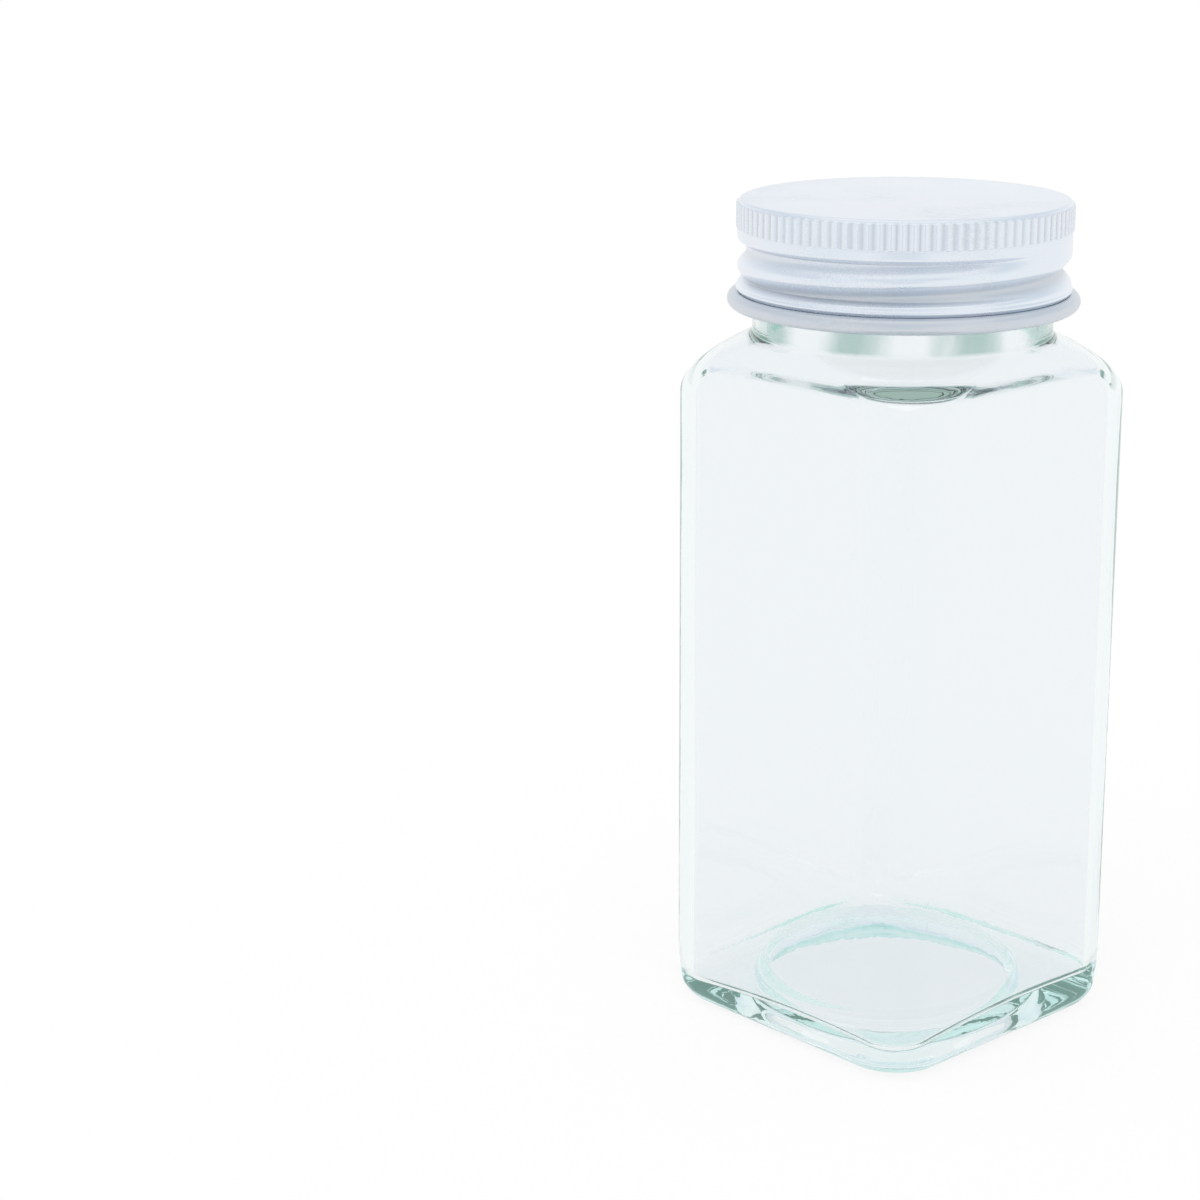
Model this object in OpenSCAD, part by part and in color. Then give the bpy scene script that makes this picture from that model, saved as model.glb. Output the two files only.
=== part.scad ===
// Square glass spice shaker with a plug-in sifter and a screw cap of thin rolled metal.
// Millimetres. Z is up, the origin is the middle of the base, and the flat walls face X and Y.

/* [Glass body] */
// Width across the flat walls
jar_w = 45; // [44:0.5:56]
// Radius of the four upright corners
corner_r = 5.6; // [4.5:0.1:8]
// Radius of the four corners where they meet the base
base_corner_r = 7; // [6:0.1:9]
// Height over which the corners open from the base to their full size
base_blend_h = 8; // [6:0.5:14]
// Radius of the rounded edge round the base
heel_r = 3; // [2:0.1:4]
// Height of the straight corners
body_h = 87.3; // [60:0.5:120]
// Rise of the shoulder from the straight corners to the neck
shoulder_rise = 8.3; // [7:0.1:12]
// Height by which the flat walls pass the straight corners before they turn in
face_rise = 2.2; // [1:0.1:4]
// Thickness of the flat walls
wall_t = 1.6; // [1.4:0.1:2.4]
// Inner radius of the four upright corners
inner_corner_r = 5; // [3.5:0.1:6]
// Inner radius where the walls meet the floor
inner_heel_r = 1.6; // [1:0.1:2]
// Thickness of the glass over the ring that the jar stands on
base_t = 3.8; // [3:0.1:5]
// Width of that ring in the middle of a side
foot_w = 1.4; // [0.8:0.1:2.5]
// Height of the floor's raised middle above the floor round it
floor_rise = 2.2; // [1.5:0.1:2.6]
// Distance of the raised middle's edge from the flat walls
floor_inset = 3.5; // [3:0.1:5]
// Crown of the raised middle
floor_crown = 0.4; // [0.2:0.1:0.8]
// Thickness of the floor in the middle
floor_t = 2.2; // [1.8:0.1:3]

/* [Neck finish] */
// Outer diameter of the neck at the root of its thread
neck_d = 39.8; // [39:0.1:40.4]
// Thickness of the neck's wall at the root of its thread
neck_wall = 1.9; // [1.6:0.1:2.6]
// Height of the neck above the shoulder
neck_h = 15.4; // [15:0.1:20]
// Radius of the rim's outer edge
rim_round = 0.6; // [0.3:0.1:1]
// Chamfer of the rim's inner edge
mouth_chamfer = 0.4; // [0.2:0.1:0.6]
// Height of the thread's crest above its root
thread_depth = 1; // [0.8:0.05:1.2]
// Pitch of the thread
thread_pitch = 4.233; // [3.8:0.001:4.6]
// Length of the neck's thread, in turns
thread_turns = 1.15; // [1:0.05:1.3]
// Width of the thread's crest
thread_crest_w = 0.9; // [0.6:0.1:1.1]
// Width of the thread at the neck
thread_root_w = 2.2; // [1.8:0.1:2.6]
// Depth of the thread's upper end below the rim
thread_drop = 1.7; // [1.5:0.1:2.4]
// Direction in which the thread's upper end lies, in degrees
thread_angle = 230; // [0:1:359]

/* [Sifter insert] */
// Thickness of the plate and its flange
plate_t = 0.9; // [0.7:0.1:1.4]
// How far the flange stays inside the neck's outside
flange_inset = 0.3; // [0.1:0.1:0.8]
// Depth of the plug below the rim
plug_h = 6.5; // [5:0.1:9]
// Thickness of the plug's wall
plug_wall = 0.9; // [0.7:0.1:1.3]
// Radial gap between the plug and the mouth
plug_gap = 0.12; // [0.1:0.01:0.2]
// Radius of the two sealing beads round the plug
bead_r = 0.4; // [0.3:0.05:0.6]
// How far the beads grip the glass
bead_grip = 0.04; // [0.02:0.01:0.08]
// Lead-in chamfer at the plug's lower end
plug_lead = 0.4; // [0.2:0.1:0.6]
// Diameter of the sifting holes
hole_d = 5.1; // [4.2:0.1:5.6]
// Distance of the ring of sifting holes from the one in the middle
hole_ring_r = 9.2; // [8:0.1:12]
// Number of sifting holes in the ring
ring_holes = 6; // [4:1:8]

/* [Cap liner] */
// Thickness of the foam disc
liner_t = 1.05; // [0.8:0.05:1.5]
// Radial gap between the disc and the cap's wall
liner_gap = 0.75; // [0.5:0.05:1]

/* [Cap] */
// Thickness of the sheet metal
sheet_t = 0.25; // [0.2:0.01:0.3]
// Height of the cap
cap_h = 14.35; // [14:0.05:14.8]
// Radial room between the thread's crest and the cap's wall
skirt_room = 0.85; // [0.7:0.05:1]
// How deep the rolled thread reaches behind the neck's thread
thread_bite = 0.35; // [0.25:0.05:0.45]
// Axial gap between the neck's thread and the rolled one below it
thread_gap = 0.4; // [0.3:0.05:0.6]
// Outer radius of the cap's top edge
edge_r = 0.5; // [0.4:0.05:0.8]
// Height of the knurled band
knurl_h = 3.6; // [2.5:0.1:4]
// How far the knurls stand out from the plain skirt
knurl_proud = 0.17; // [0.1:0.01:0.3]
// Depth of the knurls
knurl_depth = 0.22; // [0.15:0.01:0.3]
// Number of knurls
knurls = 96; // [60:4:120]
// Height of the plain band below the knurls
band_h = 1; // [0.6:0.1:1.4]
// Length of the rolled thread, in turns
groove_turns = 1.35; // [1.2:0.05:1.45]
// How far the skirt swells out below the rolled thread
flare_proud = 0.2; // [0.1:0.01:0.3]
// Diameter of the rolled lower edge
curl_d = 2.16; // [1.8:0.02:2.4]
// Radial gap between the thread's crest and the rolled edge
curl_gap = 0.25; // [0.2:0.01:0.4]

/* [Hidden] */
$fn = 96;
root2 = sqrt(2);
overrun = 1;

// Steps of the curves
corner_steps = 12;
heel_steps = 6;
shoulder_steps = 10;
floor_steps = 4;
arc_steps = 6;
thread_steps = 48;
roll_steps = 72;
roll_rows = 14;
curl_steps = 24;
flare_steps = 14;
knurl_steps = 4;

// How much of its half-width a ring's corner radius takes before the ring counts as round
round_share = 0.98;
// How much of its length a thread takes to fade at each end
fade_share = 0.09;
// The shoulder falls as a parabola outside and with this power of the height share inside
outer_bend = 2;
inner_bend = 2.5;
// How much of the inner shoulder's fall is a ledge, where that lies, and half its length
ledge_share = 0.3;
ledge_at_share = 0.5;
ledge_half_share = 0.1;
// Section of the hollow pushed up under the base, as shares of its radius and of its height
push_up_shares = [[0.3, 0.99], [0.6, 0.975], [0.82, 0.95], [0.89, 0.87], [0.93, 0.72], [0.97, 0.27], [1, 0]];
// How far the raised floor's edge reaches out and in while it rises, as shares of its rise
edge_out_share = 0.45;
edge_in_share = 0.35;
// How much of the rise is steep
edge_rise_share = 0.8;
// Shares of the flare's height at which the skirt is full again, and the swell starts
skirt_full_share = 0.6;
swell_share = 0.5;

// Heights
neck_z = body_h + shoulder_rise;
rim_z = neck_z + neck_h;
plate_z = rim_z + plate_t;
cap_in_z = plate_z + liner_t;
cap_z = cap_in_z + sheet_t;
cap_low_z = cap_z - cap_h;
knurl_top_z = cap_z - edge_r * 0.7;
knurl_low_z = knurl_top_z - knurl_h;
roll_top_z = knurl_low_z - band_h;
floor_z = base_t + floor_rise;
push_up_h = floor_z + floor_crown - floor_t;

// Glass radii and half-widths
half_w = jar_w / 2;
inner_half_w = half_w - wall_t;
push_up_r = half_w - heel_r - foot_w;
floor_r = inner_half_w - floor_inset;
neck_r = neck_d / 2;
bore_r = neck_r - neck_wall;
thread_r = neck_r + thread_depth;
// How far the blown body tucks under the exact neck and mouth
tuck = wall_t / 5;
throat_z = neck_z - wall_t * 0.7;
inner_body_h = body_h - wall_t * 0.4;

// Cap radii
skirt_r = thread_r + skirt_room + sheet_t;
knurl_r = skirt_r + knurl_proud;
knurl_root_r = knurl_r - knurl_depth;
knurl_wall_r = knurl_root_r - knurl_depth / 4;
liner_r = knurl_wall_r - sheet_t - liner_gap;
groove_depth = skirt_room + thread_bite;
curl_r = curl_d / 2;
curl_mid_r = thread_r + curl_gap + curl_r;
curl_z = cap_low_z + curl_r;
curl_line_r = curl_r - sheet_t / 2;
// The roll starts where the skirt runs into it and ends just short of the skirt
curl_start = 150;
curl_end = 470;
// How far the rolled zone's ends stay inside the sheet that they join
seam = sheet_t / 12;
seam_lap = sheet_t;

// Sifter radii
plug_r = bore_r - plug_gap;
flange_r = neck_r - flange_inset;

function smooth(x) = let (t = min(max(x, 0), 1)) t * t * (3 - 2 * t);
function diagonal(a, c) = a * root2 - c * (root2 - 1);
function corner_for(a, d) = min((a * root2 - d) / (root2 - 1), a * round_share);

// A level ring: a square of half-width a whose corners have the radius c
function ring(z, a, c) = [
    for (q = [0:3]) for (i = [0:corner_steps])
        let (turn = 90 * (q + i / corner_steps), mid = 90 * (q + 1 / 2), k = (a - c) * root2)
        [k * cos(mid) + c * cos(turn), k * sin(mid) + c * sin(turn), z]
];
function round_ring(z, r) = ring(z, r, r * round_share);

// Triangles between rings of n points each, closed by a face at each end or joined into a loop
function wall_faces(rings, n, looped = false) = [
    for (j = [0:rings - (looped ? 1 : 2)]) for (i = [0:n - 1])
        let (a = j * n, b = (j + 1) % rings * n, k = (i + 1) % n)
        each [[a + i, b + i, b + k], [a + i, b + k, a + k]]
];
function end_faces(rings, n) = [
    [for (i = [0:n - 1]) i],
    [for (i = [n - 1:-1:0]) (rings - 1) * n + i]
];

module skin(rings) {
    n = len(rings[0]);
    polyhedron(
        points = [for (r = rings) each r],
        faces = concat(wall_faces(len(rings), n), end_faces(len(rings), n)),
        convexity = 8
    );
}

// Outer corner radius, which grows towards the base
function corner_at(z) = corner_r + (base_corner_r - corner_r) * max(0, 1 - z / base_blend_h);

// How much of the shoulder's fall is left at the height share u, with a ledge for a share of it
function reach(u, v, bend, ledge) =
    let (step = smooth((u - ledge_at_share) / (2 * ledge_half_share) + 1 / 2))
    1 - (1 - ledge) * pow(v, bend) - ledge * step;

// A shoulder ring: the corner falls to the radius r from the start, and the face from its rise on
function shoulder_ring(u, low, rise, a, d, r, bend, ledge) =
    let (
        v = max(0, (rise * u - face_rise) / (rise - face_rise)),
        face = r + (a - r) * reach(u, v, bend, ledge),
        corner = r + (d - r) * reach(u, u, bend, ledge)
    )
    ring(low + rise * u, face, corner_for(face, corner));

outer_rings = concat(
    [for (s = push_up_shares) round_ring(push_up_h * s[1], push_up_r * s[0])],
    [for (i = [0:heel_steps])
        let (t = 90 * i / heel_steps, z = heel_r * (1 - cos(t)))
        ring(z, half_w - heel_r * (1 - sin(t)), corner_at(z))],
    [ring(base_blend_h, half_w, corner_r)],
    [for (i = [0:shoulder_steps])
        shoulder_ring(i / shoulder_steps, body_h, shoulder_rise, half_w,
            diagonal(half_w, corner_r), neck_r - tuck, outer_bend, 0)]
);
inner_rings = concat(
    [for (i = [shoulder_steps:-1:0])
        shoulder_ring(i / shoulder_steps, inner_body_h, throat_z - inner_body_h, inner_half_w,
            diagonal(inner_half_w, inner_corner_r), bore_r - tuck, inner_bend, ledge_share)],
    [for (i = [heel_steps:-1:0])
        let (t = 90 * i / heel_steps, inset = inner_heel_r * (1 - sin(t)))
        ring(base_t + inner_heel_r * (1 - cos(t)), inner_half_w - inset, inner_corner_r - inset)],
    [round_ring(base_t, floor_r + floor_rise * edge_out_share),
        round_ring(base_t + floor_rise * edge_rise_share, floor_r)],
    [for (i = [floor_steps:-1:1])
        let (s = i / floor_steps)
        round_ring(floor_z + floor_crown * (1 - s * s), (floor_r - floor_rise * edge_in_share) * s)]
);

// Places on the neck's thread and on the rolled thread that runs below it
thread_top_z = rim_z - thread_drop;
function thread_z(turn) = thread_top_z + thread_pitch * (turn - thread_angle) / 360;
groove_offset = thread_pitch / 2 - thread_gap;
groove_top_angle = thread_angle + 360 * (roll_top_z - thread_top_z + groove_offset) / thread_pitch;
roll_low_z = roll_top_z - thread_pitch * groove_turns;
function fade(share) = smooth(share / fade_share) * smooth((1 - share) / fade_share);

// Section of the neck's thread, from its upper root over the crest to its lower root
function thread_section(share) =
    let (
        turn = thread_angle - 360 * thread_turns * (1 - share),
        crest = neck_r - tuck / 4 + (thread_depth + tuck / 4) * fade(share),
        z = thread_z(turn),
        round = thread_depth / 4,
        half_root = thread_root_w / 2,
        half_crest = thread_crest_w / 2
    )
    [for (p = [
        [neck_r - tuck, half_root],
        [crest - round, half_crest],
        [crest, half_crest - round],
        [crest, round - half_crest],
        [crest - round, -half_crest],
        [neck_r - tuck, -half_root]
    ]) [p[0] * cos(turn), p[0] * sin(turn), z + p[1]]];

module neck_thread() {
    steps = ceil(thread_steps * thread_turns);
    skin([for (j = [0:steps]) thread_section(j / steps)]);
}

// An arc of points round a centre, from one angle to another
function arc(x, y, r, from, to, steps) = [
    for (i = [0:steps]) let (t = from + (to - from) * i / steps) [x + r * cos(t), y + r * sin(t)]
];

module glass_jar() {
    color([0.83, 0.92, 0.91, 0.45])
    difference() {
        union() {
            skin(concat(outer_rings, [round_ring(neck_z + tuck, neck_r - tuck)],
                [round_ring(neck_z + tuck, bore_r - tuck)], inner_rings));
            rotate_extrude()
                polygon(concat([[0, neck_z - wall_t / 2], [neck_r, neck_z - wall_t / 2]],
                    arc(neck_r - rim_round, rim_z - rim_round, rim_round, 0, 90, arc_steps),
                    [[0, rim_z]]));
            neck_thread();
        }
        rotate_extrude()
            polygon([[0, throat_z - overrun], [bore_r, throat_z - overrun],
                [bore_r, rim_z - mouth_chamfer],
                [bore_r + mouth_chamfer + overrun, rim_z + overrun], [0, rim_z + overrun]]);
    }
}

// Sifting holes: one in the middle and a ring round it
module sifting_hole(away) {
    translate([away, 0, rim_z - overrun])
        cylinder(h = plate_t + 2 * overrun, d = hole_d, $fn = 48);
}

module sifting_holes() {
    sifting_hole(0);
    for (i = [1:ring_holes])
        rotate([0, 0, 360 * i / ring_holes])
            sifting_hole(hole_ring_r);
}

module sifter_insert() {
    low_z = rim_z - plug_h;
    color("white")
    difference() {
        union() {
            translate([0, 0, rim_z])
                cylinder(h = plate_t, r = flange_r);
            rotate_extrude()
                polygon([[plug_r - plug_wall, low_z], [plug_r - plug_lead, low_z],
                    [plug_r, low_z + plug_lead], [plug_r, rim_z + plate_t / 2],
                    [plug_r - plug_wall, rim_z + plate_t / 2]]);
            for (share = [1 / 3, 2 / 3])
                rotate_extrude()
                    translate([bore_r + bead_grip - bead_r, rim_z - plug_h * share])
                        circle(r = bead_r, $fn = 32);
        }
        sifting_holes();
    }
}

module cap_liner() {
    color("whitesmoke")
    translate([0, 0, plate_z])
        cylinder(h = liner_t, r = liner_r);
}

// The outline of a sheet that follows a path of points, half its thickness to each side
function along(path, i) =
    let (d = path[min(i + 1, len(path) - 1)] - path[max(i - 1, 0)]) d / norm(d);
function side(path, i, off) = let (d = along(path, i)) path[i] + off * [-d[1], d[0]];
function sheet_outline(path, t) = concat(
    [for (i = [0:len(path) - 1]) side(path, i, t / 2)],
    [for (i = [len(path) - 1:-1:0]) side(path, i, -t / 2)]
);

// Top of the cap, its rounded edge and the wall behind the knurls, down to the rolled thread
module cap_top() {
    line_r = knurl_wall_r - sheet_t / 2;
    line_z = cap_z - sheet_t / 2;
    bend = edge_r - sheet_t / 2;
    path = concat([[0, line_z]], arc(line_r - bend, line_z - bend, bend, 90, 0, arc_steps),
        [[line_r, knurl_low_z + sheet_t], [skirt_r - sheet_t / 2, knurl_low_z - sheet_t],
            [skirt_r - sheet_t / 2, roll_top_z]]);
    rotate_extrude()
        polygon(sheet_outline(path, sheet_t));
}

module knurled_band() {
    steps = knurls * knurl_steps;
    translate([0, 0, knurl_low_z])
        linear_extrude(height = knurl_h)
            difference() {
                polygon([for (i = [0:steps - 1])
                    let (r = knurl_r - knurl_depth * (1 - cos(360 * i / knurl_steps)) / 2)
                    [r * cos(360 * i / steps), r * sin(360 * i / steps)]]);
                circle(r = knurl_wall_r - sheet_t / 2);
            }
}

// Depth of the rolled thread at a direction and a height: passes of a groove one pitch wide each
function roll_depth(turn, z) =
    let (
        back = (groove_top_angle - turn) / 360,
        first = back - floor(back),
        edges = smooth((roll_top_z - z) / (thread_pitch / 5))
            * smooth((z - roll_low_z) / (thread_pitch / 5)),
        passes = [for (k = [0:ceil(groove_turns)])
            let (
                turns = first + k,
                off = (z - roll_top_z) / thread_pitch + turns,
                hollow = abs(off) < 1 / 2 ? pow(cos(180 * off), 2) : 0
            )
            turns < groove_turns ? hollow * fade(turns / groove_turns) : 0]
    )
    groove_depth * edges * max(passes);

// One upright section of the rolled thread, down the outside and up the inside
function roll_section(turn) =
    let (
        top = roll_top_z + seam_lap,
        low = roll_low_z - seam_lap,
        wall = [for (i = [0:roll_rows])
            let (z = top + (low - top) * i / roll_rows) [skirt_r - seam - roll_depth(turn, z), z]],
        thin = sheet_t - 2 * seam
    )
    [for (p = concat(wall, [for (i = [roll_rows:-1:0]) wall[i] - [thin, 0]]))
        [p[0] * cos(turn), p[0] * sin(turn), p[1]]];

module rolled_thread() {
    sections = [for (j = [0:roll_steps - 1]) roll_section(360 * j / roll_steps)];
    n = len(sections[0]);
    polyhedron(
        points = [for (s = sections) each s],
        faces = wall_faces(roll_steps, n, true),
        convexity = 8
    );
}

// The skirt's lower end: a swell, a turn inwards and the edge rolled outwards
module rolled_edge() {
    start = [curl_mid_r + curl_line_r * cos(curl_start), curl_z + curl_line_r * sin(curl_start)];
    height = roll_low_z - start[1];
    line_r = skirt_r - sheet_t / 2;
    skirt = [for (i = [flare_steps:-1:1])
        let (
            s = i / flare_steps,
            swell = flare_proud * pow(sin(180 * min(max(s - swell_share, 0) / (1 - swell_share), 1)), 2)
        )
        [start[0] + (line_r - start[0]) * smooth(s / skirt_full_share) + swell, start[1] + height * s]];
    curl = arc(curl_mid_r, curl_z, curl_line_r, curl_start, curl_end, curl_steps);
    rotate_extrude()
        polygon(sheet_outline(concat(skirt, curl), sheet_t));
}

module cap_shell() {
    color("silver")
    union() {
        cap_top();
        knurled_band();
        rolled_thread();
        rolled_edge();
    }
}

glass_jar();
sifter_insert();
cap_liner();
cap_shell();
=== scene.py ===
"""Looks of a square glass spice shaker: blown jar, sifter, foam liner and rolled metal cap."""

import logging
import math
from dataclasses import dataclass, field
from enum import Enum
from typing import Callable, Optional

import bmesh
import bpy
import numpy as np
from mathutils import Matrix, Vector


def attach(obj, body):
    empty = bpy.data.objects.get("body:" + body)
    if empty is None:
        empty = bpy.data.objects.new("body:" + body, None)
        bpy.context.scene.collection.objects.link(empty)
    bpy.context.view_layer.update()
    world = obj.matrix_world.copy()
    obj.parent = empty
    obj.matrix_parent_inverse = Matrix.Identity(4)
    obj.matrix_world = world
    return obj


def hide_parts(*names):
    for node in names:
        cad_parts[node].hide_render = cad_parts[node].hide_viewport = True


MM = 0.001
FULL_TURN = 360.0
QUARTER_TURN = 90.0
ROOT2 = math.sqrt(2.0)
WHITE = (1.0, 1.0, 1.0)
LOG = logging.getLogger("spice_shaker")

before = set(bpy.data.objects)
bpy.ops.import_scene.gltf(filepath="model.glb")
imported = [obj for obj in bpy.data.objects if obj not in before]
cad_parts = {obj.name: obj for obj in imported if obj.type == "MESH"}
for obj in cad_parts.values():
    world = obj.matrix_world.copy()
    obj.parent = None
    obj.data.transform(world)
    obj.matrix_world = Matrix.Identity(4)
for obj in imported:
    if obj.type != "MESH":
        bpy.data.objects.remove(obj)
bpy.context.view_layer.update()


class Body(Enum):
    """The CAD bodies that the pieces ride on."""

    JAR = "jar"
    LINER = "liner"
    CAP = "cap"


class Slot(Enum):
    """The material slots of the record."""

    GLASS = "glass"
    PLASTIC = "sifter_plastic"
    FOAM = "liner_foam"
    METAL = "cap_metal"


# Shapes in numbers


def smooth(x: np.ndarray) -> np.ndarray:
    """Cubic step: x held between 0 and 1, then 3 x squared less 2 x cubed."""
    t = np.clip(x, 0.0, 1.0)
    return t * t * (3.0 - 2.0 * t)


def window(x: np.ndarray, low: float, high: float, ease: float) -> np.ndarray:
    """1 between low and high, with a cubic step down to 0 over the ease within each end."""
    return smooth((x - low) / ease) * smooth((high - x) / ease)


def round_max(a: np.ndarray, b: np.ndarray, width: float) -> np.ndarray:
    """The larger of two values with a rounded changeover.

    Where they differ by less than the width, a quarter of the width times the square of the
    missing share is added to the larger one.

    Args:
        a: First values.
        b: Second values.
        width: Difference at which the rounding ends.

    Returns:
        The rounded maximum.
    """
    share = np.clip(width - np.abs(np.asarray(a) - b), 0.0, None) / width
    return np.maximum(a, b) + share * share * width / 4.0


def round_min(a: np.ndarray, b: np.ndarray, width: float) -> np.ndarray:
    """The smaller of two values with a rounded changeover, as round_max has it."""
    return -round_max(-a, -b, width)


def between(start: float, end: float, steps: int) -> np.ndarray:
    """Evenly spaced values up to the end, with the start left out."""
    return np.linspace(start, end, steps + 1)[1:]


def arc(x: float, y: float, r: float, start: float, end: float, steps: int) -> np.ndarray:
    """Points on an arc: the centre plus r times cosine and sine of evenly spaced angles.

    Args:
        x: Centre, first coordinate.
        y: Centre, second coordinate.
        r: Radius.
        start: First angle in degrees.
        end: Last angle in degrees.
        steps: Number of steps.

    Returns:
        An array of steps + 1 rows of two coordinates.
    """
    t = np.radians(np.linspace(start, end, steps + 1))
    return np.stack([x + r * np.cos(t), y + r * np.sin(t)], axis=1)


def around(columns: int) -> np.ndarray:
    """Evenly spaced directions of one whole turn, in radians."""
    return np.linspace(0.0, 2.0 * math.pi, columns, endpoint=False)


def spun(r: np.ndarray, z: np.ndarray, columns: int) -> np.ndarray:
    """Rings by columns by three, from radii and heights, each one a ring or one a point."""
    turn = around(columns)
    r = np.broadcast_to(r if r.ndim == 2 else r[:, None], (len(r), columns))
    z = np.broadcast_to(z if z.ndim == 2 else z[:, None], (len(z), columns))
    return np.stack([r * np.cos(turn), r * np.sin(turn), z], axis=2)


# Pieces


def add_object(name: str, data: bpy.types.ID) -> bpy.types.Object:
    """Makes an object of the data and links it to the scene."""
    piece = bpy.data.objects.new(name, data)
    bpy.context.scene.collection.objects.link(piece)
    return piece


def place(piece: bpy.types.Object, body: Body, node: str,
          finish: bpy.types.Material) -> None:
    """Puts a piece on its body, in place of its CAD node, with its finish.

    Args:
        piece: The piece.
        body: CAD body that it moves with.
        node: CAD node that it stands for.
        finish: Its material.
    """
    piece.data.materials.clear()
    piece.data.materials.append(finish)
    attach(piece, body.value)
    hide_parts(node)
    LOG.info("%s: %d faces, stands for %s", piece.name, len(piece.data.polygons), node)


@dataclass
class RingSkin:
    """A closed surface made of level rings, laid one after another from pole to pole.

    Rings follow each other so that the way round a ring, crossed with the way to the next
    ring, points out of the solid. Neighbouring rings have the same number of points, or one
    has twice the other's, or one is a single point.
    """

    rings: list = field(default_factory=list)
    marks: list = field(default_factory=list)

    def add(self, points: np.ndarray, mark: np.ndarray | float = 0.0) -> None:
        """Adds rings.

        Args:
            points: Array of rings by points by three, in millimetres.
            mark: Value from 0 to 1 for the material, one for all points or one for each.
        """
        self.rings.extend(points)
        self.marks.extend(np.broadcast_to(mark, points.shape[:2]))

    def pole(self, z: float) -> None:
        """Adds the single point on the axis at height z."""
        self.add(np.array([[[0.0, 0.0, z]]]))

    def turn_over(self) -> None:
        """Reverses the order of the rings, for a skin that was laid inside out."""
        self.rings.reverse()
        self.marks.reverse()

    def build(self, name: str) -> bpy.types.Object:
        """Makes the object, in metres, with the marks as a point attribute of painted shade.

        Args:
            name: Name of the object and its mesh.

        Returns:
            The object, linked to the scene.
        """
        starts = np.cumsum([0] + [len(r) for r in self.rings])
        faces: list = []
        for j in range(len(self.rings) - 1):
            low = starts[j] + np.arange(len(self.rings[j]))
            high = starts[j + 1] + np.arange(len(self.rings[j + 1]))
            faces.extend(self._join(low, high))
        mesh = bpy.data.meshes.new(name)
        mesh.from_pydata((np.concatenate(self.rings) * MM).tolist(), [], faces)
        mesh.shade_smooth()
        # The marks are painted shade, which the metal's colour reads
        tone = mesh.attributes.new("hollow", "FLOAT", "POINT")
        tone.data.foreach_set("value", np.concatenate(self.marks).astype(np.float32))
        mesh.update()
        return add_object(name, mesh)

    @staticmethod
    def _join(low: np.ndarray, high: np.ndarray) -> list:
        """Faces between two rings of vertex numbers: four-sided where their counts agree.

        Args:
            low: Vertex numbers of the first ring.
            high: Vertex numbers of the next ring.

        Returns:
            A list of faces.
        """
        low_next, high_next = np.roll(low, -1), np.roll(high, -1)
        if len(low) == len(high):
            return np.stack([low, low_next, high_next, high], axis=1).tolist()
        if len(low) == 1:
            return np.stack([np.full_like(high, low[0]), high_next, high], axis=1).tolist()
        if len(high) == 1:
            return np.stack([low, low_next, np.full_like(low, high[0])], axis=1).tolist()
        if len(high) == 2 * len(low):
            left, mid, right = high[0::2], high[1::2], np.roll(high[0::2], -1)
            parts = [(low, mid, left), (low, low_next, mid), (low_next, right, mid)]
        else:
            left, mid, right = low[0::2], low[1::2], np.roll(low[0::2], -1)
            parts = [(left, mid, high), (mid, high_next, high), (mid, right, high_next)]
        return np.concatenate([np.stack(p, axis=1) for p in parts]).tolist()


# Shader building


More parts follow.
